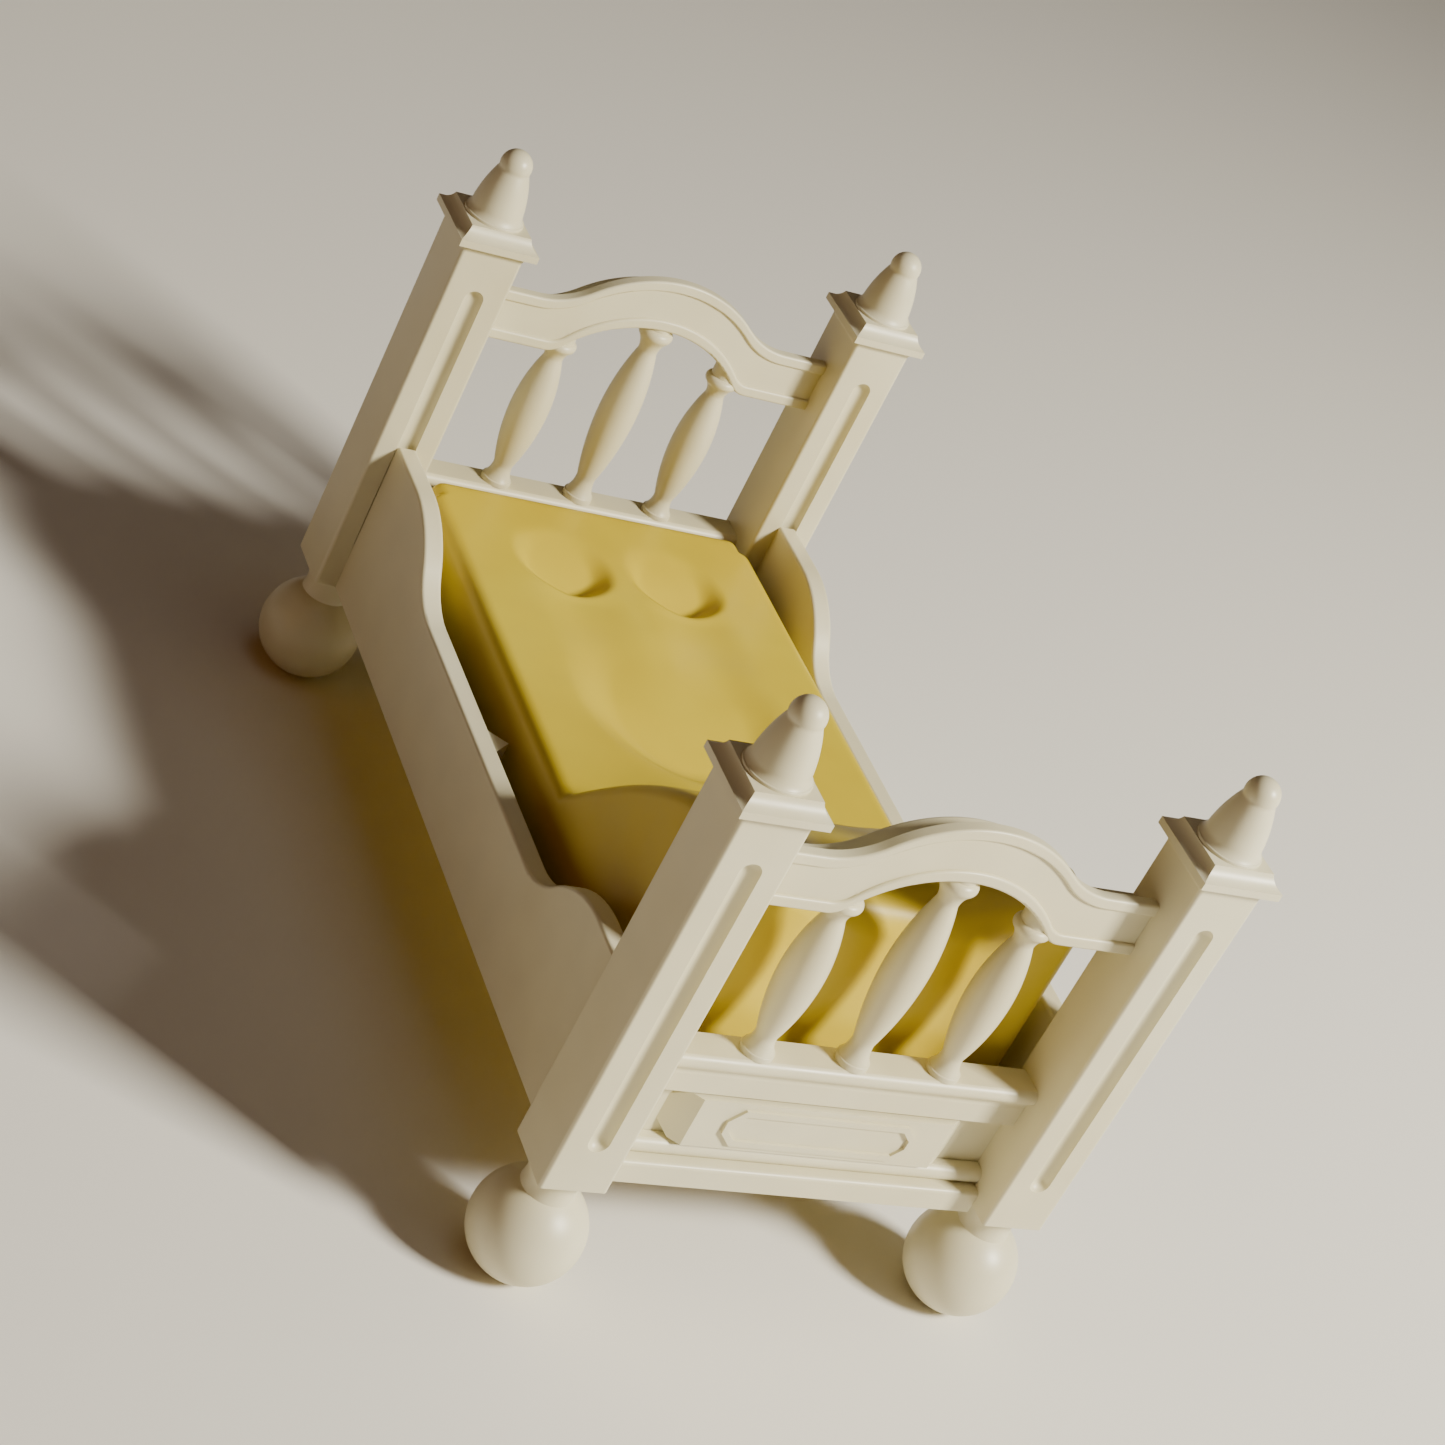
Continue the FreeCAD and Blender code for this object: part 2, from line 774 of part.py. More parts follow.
def panel(name):
    """A board's panel: a tongued plate, a raised field with bevelled ends and an eight-sided
    bead on it."""
    back = panel_groove()[1] - SLACK
    low, high = size("plinth_top"), size("mid_bottom")
    plate = block(name + "_plate", -BOARD_HALF, BOARD_HALF, back - size("panel_depth"), back,
                  low - size("panel_tongue"), high + size("panel_tongue"))
    face = size("panel_depth") + size("panel_field")
    field_half = BOARD_HALF - size("panel_field_inset")
    field_low = low + size("panel_field_gap")
    field_high = high - size("panel_field_gap")
    outline = plate_facing_y(name + "_outline", octagon(
        field_half, field_low, field_high, size("panel_field_corner")), face)
    bevelled = plate_facing_up(name + "_bevelled", mirrored([
        (field_half - size("panel_bevel"), -face),
        (field_half, -size("panel_depth")),
        (field_half, 0),
    ]), field_high - field_low)
    place(bevelled, 0, 0, field_low)
    field = DOC.addObject("Part::Common", name + "_field")
    field.Base, field.Tool = outline, bevelled
    half = size("panel_bead_width") / 2
    gap = size("panel_bead_gap")
    corner = size("panel_bead_corner")
    rim = size("panel_bead")
    bead = plate_facing_y(name + "_bead", octagon(half, low + gap, high - gap, corner),
                          face + rim / 2)
    inside = plate_facing_y(
        name + "_inside",
        octagon(half - rim, low + gap + rim, high - gap - rim,
                corner - rim * (2 - math.sqrt(2))), rim / 2 + PAST)
    for piece in (field, bead):
        place(piece, 0, back, 0)
    place(inside, 0, back - face, 0)
    return joined(name, [plate, field, cut(name + "_frame", bead, [inside])])


def baluster_places():
    """The three balusters of a board and how far each stands from its middle."""
    return (("left", -size("baluster_pitch")), ("middle", as_size(0)),
            ("right", size("baluster_pitch")))


# Side rails ------------------------------------------------------------------------------


def side_rail(name, side):
    """A side rail with raised ears at both ends, an inner ledge, a catch and two tenons."""
    foot_y, foot_z, lower, upper = s_curve(
        size("rail_ear_start"), size("rail_top"), size("rail_ear_end"), size("rail_ear"),
        size("rail_ear_share"))
    plate = plate_facing_x(name + "_plate", mirrored([
        (RAIL_HALF, size("rail_bottom")),
        (RAIL_HALF, size("rail_ear")),
        (size("rail_ear_end"), size("rail_ear"), upper),
        (foot_y, foot_z, -lower),
        (size("rail_ear_start"), size("rail_top")),
    ]), size("rail_thick"))
    eased = rounded(name + "_eased", plate, size("rail_round"), is_rail_top_edge)
    face = inner_face(side)
    across = sorted((face, face - side * size("ledge_width")), key=lambda length: length.value)
    ledge_end = RAIL_HALF - size("ledge_end_gap")
    ledge = block(name + "_ledge", across[0], across[1], -ledge_end, ledge_end,
                  size("rail_bottom"), LEDGE_TOP)
    catch = rail_catch(name + "_catch", side)
    pieces = [eased, ledge, catch]
    corner = POST_HALF_WIDTH - size("rail_inset")
    origin = corner * side if side < 0 else corner - size("rail_thick")
    low_x, high_x = rail_tenon_x(side)
    for end_name, end in ENDS:
        ends = sorted((end * RAIL_HALF, end * (RAIL_HALF + TENON)),
                      key=lambda length: length.value)
        pieces.append(block(
            f"{name}_{end_name}_tenon", low_x - origin, high_x - origin, ends[0], ends[1],
            size("rail_bottom") + SHOULDER, size("rail_top") - SHOULDER))
    return joined(name, pieces)


def inner_face(side):
    """Where a side rail's plate ends on its mattress side, across its own thickness."""
    return as_size(0) if side > 0 else size("rail_thick")


def is_rail_top_edge(edge):
    """Picks the edges that run along the top of a side rail."""
    box = edge.BoundBox
    return box.ZMin > size("rail_top").value - NEAR and box.YLength > NEAR


def rail_catch(name, side):
    """A small wedge under the top inner edge of a side rail."""
    face = inner_face(side)
    tip = face - side * size("catch_reach")
    half = size("catch_length") / 2
    middle = size("catch_offset")
    buried = face + size("rail_thick") * side / 2
    corners = [(buried, middle - half), (face, middle - half), (tip, middle),
               (face, middle + half), (buried, middle + half)]
    wedge = plate_facing_up(name, corners, size("catch_height"))
    place(wedge, 0, 0, size("rail_top") - size("catch_height") - size("rail_round"))
    return wedge


# Mattress insert -------------------------------------------------------------------------


def mattress_insert(name):
    """A one-piece hollow mattress with a raised pillow at the head end, a round seat hollow in
    its middle and two shallow heel hollows. It stands on the ledges of the side rails. Its
    foot end narrows to a tongue, and its head end stops short, so that it lifts past the caps
    of the posts."""
    half = BOARD_HALF - size("insert_gap_side")
    head = -RAIL_HALF + size("insert_gap_head")
    foot = HALF_Y + POST_HALF_DEPTH - size("plinth_depth") - size("insert_gap_foot")
    clear_of_caps = size("cap_overhang") + size("insert_gap_cap")
    neck = RAIL_HALF - clear_of_caps
    tongue_half = BOARD_HALF - clear_of_caps
    wall = size("insert_wall")
    top = size("insert_top")
    crest_y = head + size("pillow_crest_from_head")
    crest = size("pillow_crest_high")
    outer = run_along_x(name + "_outer", [
        (head, LEDGE_TOP),
        (neck, LEDGE_TOP),
        (neck, top),
        (head + size("pillow_start"), top),
        (crest_y, crest, size("pillow_crest_bow")),
        (head, size("pillow_back_high")),
    ], half * 2)
    tongue = block(name + "_tongue", -tongue_half, tongue_half, neck - wall, foot, LEDGE_TOP, top)
    cavity = run_along_x(name + "_cavity", [
        (head + wall, LEDGE_TOP - PAST),
        (neck - wall, LEDGE_TOP - PAST),
        (neck - wall, top - wall),
        (head + size("pillow_start") - wall, top - wall),
        (crest_y, crest - wall * 2),
        (head + wall, size("pillow_back_high") - wall),
    ], (half - wall) * 2)
    tongue_cavity = block(name + "_tongue_cavity", wall - tongue_half, tongue_half - wall,
                          neck - wall * 2, foot - wall, LEDGE_TOP - PAST, top - wall)
    seat_y = head + size("seat_from_head")
    heel_y = foot - size("heel_from_foot")
    hollows = [("seat", size("seat_radius"), size("seat_sink"), 0, seat_y)]
    for side_name, side in SIDES:
        hollows.append((f"{side_name}_heel", size("heel_radius"), size("heel_sink"),
                        side * size("heel_pitch") / 2, heel_y))
    dishes = []
    linings = []
    for label, rim, sink, x, y in hollows:
        radius = (rim * rim + sink * sink) / (sink * 2)
        height = top + radius - sink
        dishes.append(ball(f"{name}_{label}_dish", radius, x, y, height))
        linings.append(ball(f"{name}_{label}_lining", radius + wall, x, y, height))
    body = joined(name + "_body", [outer, tongue])
    room = joined(name + "_room", [cavity, tongue_cavity])
    return cut(name, body, dishes + [cut(name + "_core", room, linings)])


# Assembly --------------------------------------------------------------------------------


def build_parts():
    """Makes every sub-part in its place and gives them by name."""
    parts = {}
    moulds = {}
    for label, offset in baluster_places():
        mould = plate_facing_y(f"arch_mould_{label}", arch_outline(), size("arch_depth") * 2)
        place(mould, -offset, size("arch_depth"), -size("mid_top"))
        moulds[label] = mould
    for end_name, end in ENDS:
        back = end * HALF_Y + POST_HALF_DEPTH
        for side_name, side in SIDES:
            corner = f"{end_name}_{side_name}"
            parts[f"ball_foot_{corner}"] = ball_foot(f"ball_foot_{corner}")
            parts[f"post_{corner}"] = post(f"post_{corner}", end, side)
            parts[f"finial_{corner}"] = finial(f"finial_{corner}")
            for kind in ("ball_foot", "post"):
                place(parts[f"{kind}_{corner}"], side * HALF_X, end * HALF_Y, 0)
            place(parts[f"finial_{corner}"], side * HALF_X, end * HALF_Y, CAP_TOP)
        for kind, make in (("arch_rail", arch_rail), ("mid_rail", mid_rail),
                           ("panel", panel), ("plinth", plinth)):
            piece = make(f"{kind}_{end_name}")
            place(piece, 0, back, 0)
            parts[f"{kind}_{end_name}"] = piece
        for label, offset in baluster_places():
            name = f"baluster_{end_name}_{label}"
            height = size("arch_crown_low") - size("mid_top")
            if label != "middle":
                height = height - size("baluster_side_drop")
            parts[name] = baluster(name, height, moulds[label])
            place(parts[name], offset, back - size("baluster_setback"), size("mid_top"))
    for side_name, side in SIDES:
        name = f"side_rail_{side_name}"
        parts[name] = side_rail(name, side)
        corner = HALF_X + POST_HALF_WIDTH - size("rail_inset")
        place(parts[name], -corner if side < 0 else corner - size("rail_thick"), 0, 0)
    parts["mattress_insert"] = mattress_insert("mattress_insert")
    return parts


def check_document():
    """Stops if any object of the document failed to compute."""
    for item in DOC.Objects:
        if "Invalid" in item.State or "Error" in item.State:
            raise RuntimeError(f"{item.Name}: {item.State}")


def export(parts):
    """Checks each sub-part's shape and writes it to its own file."""
    os.makedirs("parts", exist_ok=True)
    for name, item in parts.items():
        item.Label = name
        shape = item.Shape
        if shape.isNull() or not shape.isValid() or len(shape.Solids) != 1:
            raise RuntimeError(f"{name}: not one valid solid")
        shape.exportStep(f"parts/{name}.step")


PARTS = build_parts()
DOC.recompute()
check_document()
export(PARTS)
print(f"{len(PARTS)} sub-parts written")
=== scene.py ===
"""Looks of a dolls' house bedstead with a lift-out moulded mattress.

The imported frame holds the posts, rails and panels. This script adds the pieces whose looks need
a finer shape, which are the turned feet, finials and balusters and the mattress, and gives
every piece its moulded plastic. It then sets the floor, the lights and the camera.
"""
import math

import bpy
from mathutils import Matrix, Vector


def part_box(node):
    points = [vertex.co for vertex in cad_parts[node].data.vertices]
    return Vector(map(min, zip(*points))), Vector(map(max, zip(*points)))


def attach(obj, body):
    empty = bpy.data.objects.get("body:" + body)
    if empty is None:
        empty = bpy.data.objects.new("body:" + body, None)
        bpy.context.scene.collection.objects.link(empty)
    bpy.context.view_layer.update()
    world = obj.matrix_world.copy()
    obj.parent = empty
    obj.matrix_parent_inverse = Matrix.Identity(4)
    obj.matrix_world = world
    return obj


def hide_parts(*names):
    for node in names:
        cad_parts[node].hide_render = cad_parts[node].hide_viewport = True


bl_info = {
    "name": "Miniature bedstead",
    "version": (1, 0, 0),
    "blender": (4, 5, 0),
    "location": "3D View > Sidebar > Bedstead",
    "description": "Builds the turned pieces, the mattress, the finishes and the stage",
    "category": "Object",
}

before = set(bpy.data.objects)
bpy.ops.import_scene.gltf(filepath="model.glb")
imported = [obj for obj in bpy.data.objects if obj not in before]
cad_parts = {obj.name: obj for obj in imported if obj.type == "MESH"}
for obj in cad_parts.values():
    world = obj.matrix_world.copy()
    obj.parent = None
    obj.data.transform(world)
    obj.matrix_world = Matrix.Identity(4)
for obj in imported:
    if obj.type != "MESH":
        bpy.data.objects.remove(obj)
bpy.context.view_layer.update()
MM = 0.001
ENDS = ("head", "foot")
SIDES = ("left", "right")
PLACES = ("left", "middle", "right")

# A side baluster's clear height as a share of its whole height, because its arch slopes.
SLOPED_SHARE = 0.945
# Radius of the curve from a baluster's collar to its top, as a share of that curve's height.
RING_ROUND = 0.65
# Heights of a baluster's swellings as shares of its clear height.
FOOT_SHARE, NECK_SHARE, BELLY_SHARE = 0.03, 0.12, 0.5
WAIST_SHARE, COLLAR_SHARE, TOP_SHARE = 0.85, 0.93, 0.98

# Edges that turn by less than these angles are shaded smooth.
TURNED_SMOOTH = math.radians(40)
MATTRESS_SMOOTH = math.radians(50)

# Sockets of a Mix node in colour mode, where A, B and Result each occur once per data type.
MIX_A, MIX_B, MIX_RESULT = 6, 7, 2

# Patterns of the plastics: distance between features in mm, levels of finer detail, and the
# strength of each level beside the one before it.
DRIFT = (26, 3.0, 0.55)
MOTTLE = (4.5, 1.5, 0.4)
WAVES = (5.5, 1.0, 0.4)
# Real mould grit is too fine to show, so it is drawn as coarse as it needs to be.
GRIT = (0.8, 1.0, 0.4)
GRIT_DEPTH = 0.02 * MM
LIGHT_DEPTH = 1.2 * MM  # how far light gets into the plastics

# A hollow of the mattress, in shares of its radius.
HOLLOW_STRETCH = 0.8  # below 1, a hollow is longer towards the foot
FALL_START, FALL_RUN = 1.1, 1.9  # where its floor starts to fall, and over what length
FALL_POWER = 1.6  # above 1, the fall starts gently
RIM_START = 0.55  # where its rim starts to rise
# The leg channels fade out between these distances from the heel hollows, in heel radii.
CHANNEL_FADE, CHANNEL_END = 1.2, 0.6

# The stage, in metres.
FLOOR_SIZE = 6.0
LAMP_AIM = 30 * MM
NEAREST_SEEN = 0.01
SENSOR_MM = 36  # width of the camera's sensor
AMBIENT = ("#E0A040", 0.03)  # tint and strength


# Sizes and colours a user would change ---------------------------------------------------


def length(name, description, default):
    """A size property in metres, given in millimetres."""
    return bpy.props.FloatProperty(name=name, description=description, default=default * MM,
                                   unit="LENGTH", precision=5)


def colour(name, description, default):
    """A colour property that holds an sRGB hex value."""
    return bpy.props.StringProperty(name=name, description=description, default=default)


class TurnedSizes(bpy.types.PropertyGroup):
    """Sizes of the turned pieces."""
    rest: length("Rest", "Radius of the flat a foot stands on", 1.2)
    ball: length("Ball", "Radius of a foot's ball", 5.2)
    waist: length("Waist", "Radius where the ball meets the hollow neck", 2.5)
    neck: length("Neck", "Radius of a foot's neck under the post", 2.9)
    neck_top: length("Neck top", "Height of the underside of a post", 12.5)
    neck_sweep: length("Neck sweep", "Radius of the neck's hollow", 3.6)
    finial: length("Finial", "Radius of a finial's base", 3.0)
    finial_ring: length("Ring", "Height of a finial's base edge", 0.3)
    finial_flare: length("Flare", "Radius of the hollow curve above the base", 1.4)
    flare_high: length("Flare height", "Height of the top of the hollow curve", 1.2)
    bell_radius: length("Bell radius", "Radius of the bell where it starts", 2.55)
    finial_bell: length("Bell", "Radius of the curve of a finial's bell", 14.0)
    finial_neck: length("Finial neck", "Radius under a finial's bead", 1.52)
    finial_bead: length("Bead", "Radius of a finial's bead", 1.58)
    baluster_foot: length("Foot", "Radius of a baluster's foot", 1.55)
    baluster_neck: length("Baluster neck", "Smallest radius above the foot", 1.0)
    baluster_belly: length("Belly", "Radius of a baluster's belly", 2.0)
    baluster_waist: length("Baluster waist", "Smallest radius under the collar", 1.0)
    baluster_collar: length("Collar", "Radius of a baluster's collar", 1.65)
    baluster_top: length("Top", "Radius of a baluster above its collar", 1.35)
    edge: length("Edge", "Rounding of a moulded edge", 0.12)


class MattressSizes(bpy.types.PropertyGroup):
    """Sizes of the mattress insert."""
    plateau: length("Plateau", "Height of the lying surface", 26.6)
    wall: length("Wall", "Thickness of the moulding", 1.1)
    roll: length("Roll", "Radius of the rolled outer edge", 1.4)
    mesh: length("Mesh", "Spacing of the sculpted mesh", 0.36)
    pillow_start: length("Pillow start", "From the head end to the foot of the pillow", 27.5)
    crest: length("Crest", "From the head end to the pillow's crest", 5.2)
    ear: length("Ear", "Height of the pillow's corners", 42.6)
    dip: length("Dip", "How far the pillow sinks between its corners", 2.6)
    fullness: length("Fullness", "How far the pillow's slope swells", 1.1)
    seat: length("Seat", "Radius of the seat hollow", 12.4)
    seat_from_head: length("Seat place", "From the head end to the seat's middle", 43.2)
    seat_sink: length("Seat sink", "Depth of the seat hollow", 3.0)
    heel: length("Heel", "Radius of a heel hollow", 5.6)
    heel_sink: length("Heel sink", "Depth of a heel hollow", 2.5)
    heel_pitch: length("Heel pitch", "Between the middles of the heel hollows", 12.6)
    heel_from_foot: length("Heel place", "From the foot end to the heel hollows", 11.2)
    leg_sink: length("Leg sink", "Depth of the two leg channels", 0.5)


class Colours(bpy.types.PropertyGroup):
    """Colours of the plastics and the stage."""
    cream: colour("Cream", "Body of the cream plastic", "#E2DDC0")
    cream_warm: colour("Warm cream", "Where the cream plastic has yellowed", "#D8CDA4")
    yellow: colour("Yellow", "Body of the yellow plastic", "#D8C43A")
    yellow_deep: colour("Deep yellow", "Thicker yellow plastic", "#C8AA22")
    floor: colour("Floor", "Pale studio floor", "#EEEAE0")


class StageSizes(bpy.types.PropertyGroup):
    """Where the camera stands."""
    azimuth: bpy.props.FloatProperty(name="Azimuth", unit="ROTATION", default=math.radians(34.5),
                                     description="Turn of the camera to the left of the head")
    elevation: bpy.props.FloatProperty(name="Elevation", unit="ROTATION",
                                       default=math.radians(29.1),
                                       description="Camera angle above the floor")
    roll: bpy.props.FloatProperty(name="Roll", unit="ROTATION", default=math.radians(28.2),
                                  description="Lean of the camera about its line of sight")
    distance: length("Distance", "From the camera to the middle of the bed", 296.0)
    lens: bpy.props.FloatProperty(name="Lens", unit="CAMERA", default=80.0,
                                  description="Focal length on a 36 mm sensor")
    aim_height: length("Aim", "Height of the point the camera looks at", 30.0)


# Small tools -----------------------------------------------------------------------------


def deselect_all():
    """Leaves nothing selected and nothing in edit mode."""
    if bpy.context.mode != "OBJECT":
        bpy.ops.object.mode_set(mode="OBJECT")
    bpy.ops.object.select_all(action="DESELECT")


def select_only(piece):
    """Selects one object and makes it the active one."""
    deselect_all()
    piece.select_set(True)
    bpy.context.view_layer.objects.active = piece


def arc(start, finish, radius, steps):
    """Points along the shorter arc between two (radius, height) corners, without its start. A
    positive radius bows the arc outwards and a negative one hollows it."""
    a, b = Vector(start), Vector(finish)
    chord = b - a
    across = Vector((chord.y, -chord.x)).normalized()
    apothem = math.sqrt(max(radius * radius - chord.length_squared / 4, 0))
    centre = (a + b) / 2 - across * apothem * math.copysign(1, radius)
    first = a - centre
    turn = first.angle_signed(b - centre)
    points = []
    for step in range(1, steps + 1):
        points.append(tuple(centre + Matrix.Rotation(-turn * step / steps, 2) @ first))
    return points


def turned(name, rings, sides=64):
    """Turns a piece on the Z axis: a disc at the first ring, extruded and resized ring by
    ring up to the last."""
    deselect_all()
    first = rings[0]
    bpy.ops.mesh.primitive_circle_add(vertices=sides, radius=first[0], fill_type="NGON",
                                      location=(0, 0, first[1]))
    piece = bpy.context.active_object
    bpy.ops.object.transform_apply()
    bpy.ops.object.mode_set(mode="EDIT")
    bpy.ops.mesh.select_all(action="SELECT")
    for below, ring in zip(rings, rings[1:]):
        bpy.ops.mesh.extrude_region_move(
            TRANSFORM_OT_translate={"value": (0, 0, ring[1] - below[1])})
        grow = ring[0] / below[0]
        bpy.ops.transform.resize(value=(grow, grow, 1), center_override=(0, 0, ring[1]))
    bpy.ops.mesh.select_all(action="SELECT")
    bpy.ops.mesh.normals_make_consistent(inside=False)
    bpy.ops.object.mode_set(mode="OBJECT")
    bpy.ops.object.shade_smooth_by_angle(angle=TURNED_SMOOTH)
    piece.name = name
    return piece


def placed_copy(piece, name, place):
    """A copy with its own mesh, moved to its place with the move held in the mesh."""
    select_only(piece)
    bpy.ops.object.duplicate(linked=False)
    copy = bpy.context.active_object
    copy.name = name
    copy.data.name = name
    copy.location = place
    bpy.ops.object.transform_apply()
    return copy


def remove(piece):
    """Deletes a pattern piece once its copies are made."""
    select_only(piece)
    bpy.ops.object.delete()


def axis_of(node):
    """Where the upright axis of a turned CAD node meets the floor."""
    low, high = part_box(node)
    return Vector(((low.x + high.x) / 2, (low.y + high.y) / 2, 0))


def finish_piece(piece, body, slot, material, *nodes):
    """Gives a piece its plastic and its body, and hides the CAD nodes it stands for."""
    piece.data.materials.clear()
    piece.data.materials.append(material)
    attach(piece, body)
    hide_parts(*nodes)


# Materials -------------------------------------------------------------------------------


def linear(hex_value):
    """Turns an sRGB hex value into a linear RGBA colour."""
    digits = hex_value.lstrip("#")
    channels = [int(digits[place:place + 2], 16) / 255 for place in (0, 2, 4)]
    return [*(c / 12.92 if c <= 0.04045 else ((c + 0.055) / 1.055) ** 2.4 for c in channels), 1]


def add_node(tree, kind, links=(), **settings):
    """Adds a node. A setting is an input of that name, or else a property of the node; a link
    is (input, output socket)."""
    node = tree.nodes.new(kind)
    for name, value in settings.items():
        words = name.replace("_", " ").title()
        if hasattr(node, name):
            setattr(node, name, value)
        else:
            node.inputs[words].default_value = value
    for name, output in links:
        tree.links.new(node.inputs[name], output)
    return node


def per_metre(spacing_mm):
    """The scale of a noise whose features lie the given distance apart."""
    return 1 / (spacing_mm * MM)


def new_material(name):
    """An empty node material and its node tree."""
    material = bpy.data.materials.new(name)
    material.use_nodes = True
    tree = material.node_tree
    tree.nodes.clear()
    return material, tree


def moulded_plastic(name, body, tint, roughness, sheen, depth_colour, subsurface, sink_mm,
                    grain):
    """A moulded plastic: slow colour drift from age and handling, a mottle in its tone and
    gloss, faint sink waves, and a grit that breaks up the highlights. Its index of refraction
    lies between those of polyethylene and polystyrene."""
    material, tree = new_material(name)
    place = add_node(tree, "ShaderNodeTexCoord")
    drift, mottle, waves, grit = [
        add_node(tree, "ShaderNodeTexNoise", [("Vector", place.outputs["Object"])],
                 scale=per_metre(spacing_mm), detail=levels, roughness=strength)
        for spacing_mm, levels, strength in (DRIFT, MOTTLE, WAVES, GRIT)]
    aged = add_node(tree, "ShaderNodeMapRange", [("Value", drift.outputs["Fac"])],
                    from_min=0.1, from_max=0.9, to_min=0.0, to_max=1.0)
    base = add_node(tree, "ShaderNodeMix", [("Factor", aged.outputs["Result"])],
                    data_type="RGBA")
    base.inputs[MIX_A].default_value = linear(body)
    base.inputs[MIX_B].default_value = linear(tint)
    tone = add_node(tree, "ShaderNodeMapRange", [("Value", mottle.outputs["Fac"])],
                    from_min=0.0, from_max=1.0, to_min=0.94, to_max=1.05)
    toned = add_node(tree, "ShaderNodeHueSaturation",
                     [("Value", tone.outputs["Result"]), ("Color", base.outputs[MIX_RESULT])])
    gloss = add_node(tree, "ShaderNodeMapRange", [("Value", mottle.outputs["Fac"])],
                     from_min=0.0, from_max=1.0, to_min=roughness - 0.08,
                     to_max=roughness + 0.1)
    sunk = add_node(tree, "ShaderNodeBump", [("Height", waves.outputs["Fac"])],
                    strength=0.35, distance=sink_mm * MM)
    fine = add_node(tree, "ShaderNodeBump",
                    [("Height", grit.outputs["Fac"]), ("Normal", sunk.outputs["Normal"])],
                    strength=grain, distance=GRIT_DEPTH)
    shader = add_node(tree, "ShaderNodeBsdfPrincipled",
                      [("Base Color", toned.outputs["Color"]),
                       ("Roughness", gloss.outputs["Result"]),
                       ("Normal", fine.outputs["Normal"])])
    shader.inputs["IOR"].default_value = 1.53
    shader.inputs["Specular IOR Level"].default_value = sheen
    shader.inputs["Subsurface Weight"].default_value = subsurface
    shader.inputs["Subsurface Scale"].default_value = LIGHT_DEPTH
    shader.inputs["Subsurface Radius"].default_value = linear(depth_colour)[:3]
    add_node(tree, "ShaderNodeOutputMaterial", [("Surface", shader.outputs["BSDF"])])
    return material


def cream_polystyrene(colours):
    """Injection moulded high impact polystyrene, off white. A hard skin that handling has
    dulled a little, with broad soft highlights on the turned pieces; age has warmed it in
    patches."""
    return moulded_plastic("cream moulded polystyrene", colours.cream, colours.cream_warm,
                           roughness=0.38, sheen=0.5, depth_colour="#FFE8C0",
                           subsurface=0.06, sink_mm=0.05, grain=0.12)


def yellow_polyethylene(colours):
    """Moulded polyethylene, yellow. Softer and waxier than the bed, so its highlights are
    weaker and its skin is more uneven."""
    return moulded_plastic("yellow moulded polyethylene", colours.yellow, colours.yellow_deep,
                           roughness=0.4, sheen=0.3, depth_colour="#FFE070",
                           subsurface=0.02, sink_mm=0.08, grain=0.2)


def material_for(kind):
    """Finds a plastic by kind, or makes it the first time it is asked for."""
    makers = {"cream": ("cream moulded polystyrene", cream_polystyrene),
              "yellow": ("yellow moulded polyethylene", yellow_polyethylene)}
    name, maker = makers[kind]
    found = bpy.data.materials.get(name)
    return found or maker(bpy.context.scene.bedstead_colours)


# Turned pieces ---------------------------------------------------------------------------


class BEDSTEAD_OT_ball_feet(bpy.types.Operator):
    """Turn the four ball feet"""
    bl_idname = "bedstead.ball_feet"
    bl_label = "Ball feet"

    def execute(self, context):
        sizes = context.scene.bedstead_turned
        centre = math.sqrt(sizes.ball ** 2 - sizes.rest ** 2)
        waist = centre + math.sqrt(sizes.ball ** 2 - sizes.waist ** 2)
        rings = [(sizes.rest, 0)]
        rings += sphere_rings(sizes.ball, centre, sizes.rest, sizes.waist, steps=36)
        rings += arc((sizes.waist, waist), (sizes.neck, sizes.neck_top), -sizes.neck_sweep,
                     steps=12)
        pattern = turned("ball_foot_pattern", rings)
        for end in ENDS:
            for side in SIDES:
                node = f"ball_foot_{end}_{side}"
                foot = placed_copy(pattern, f"turned_{node}", axis_of(node))
                finish_piece(foot, "bedstead", "cream_plastic", material_for("cream"), node)
        remove(pattern)
        return {"FINISHED"}


def sphere_rings(radius, centre, low_ring, high_ring, steps):
    """Rings of a ball from a lower to an upper ring, without the first."""
    start = -math.acos(low_ring / radius)
    finish = math.acos(high_ring / radius)
    rings = []
    for step in range(1, steps + 1):
        angle = start + (finish - start) * step / steps
        rings.append((radius * math.cos(angle), centre + radius * math.sin(angle)))
    return rings


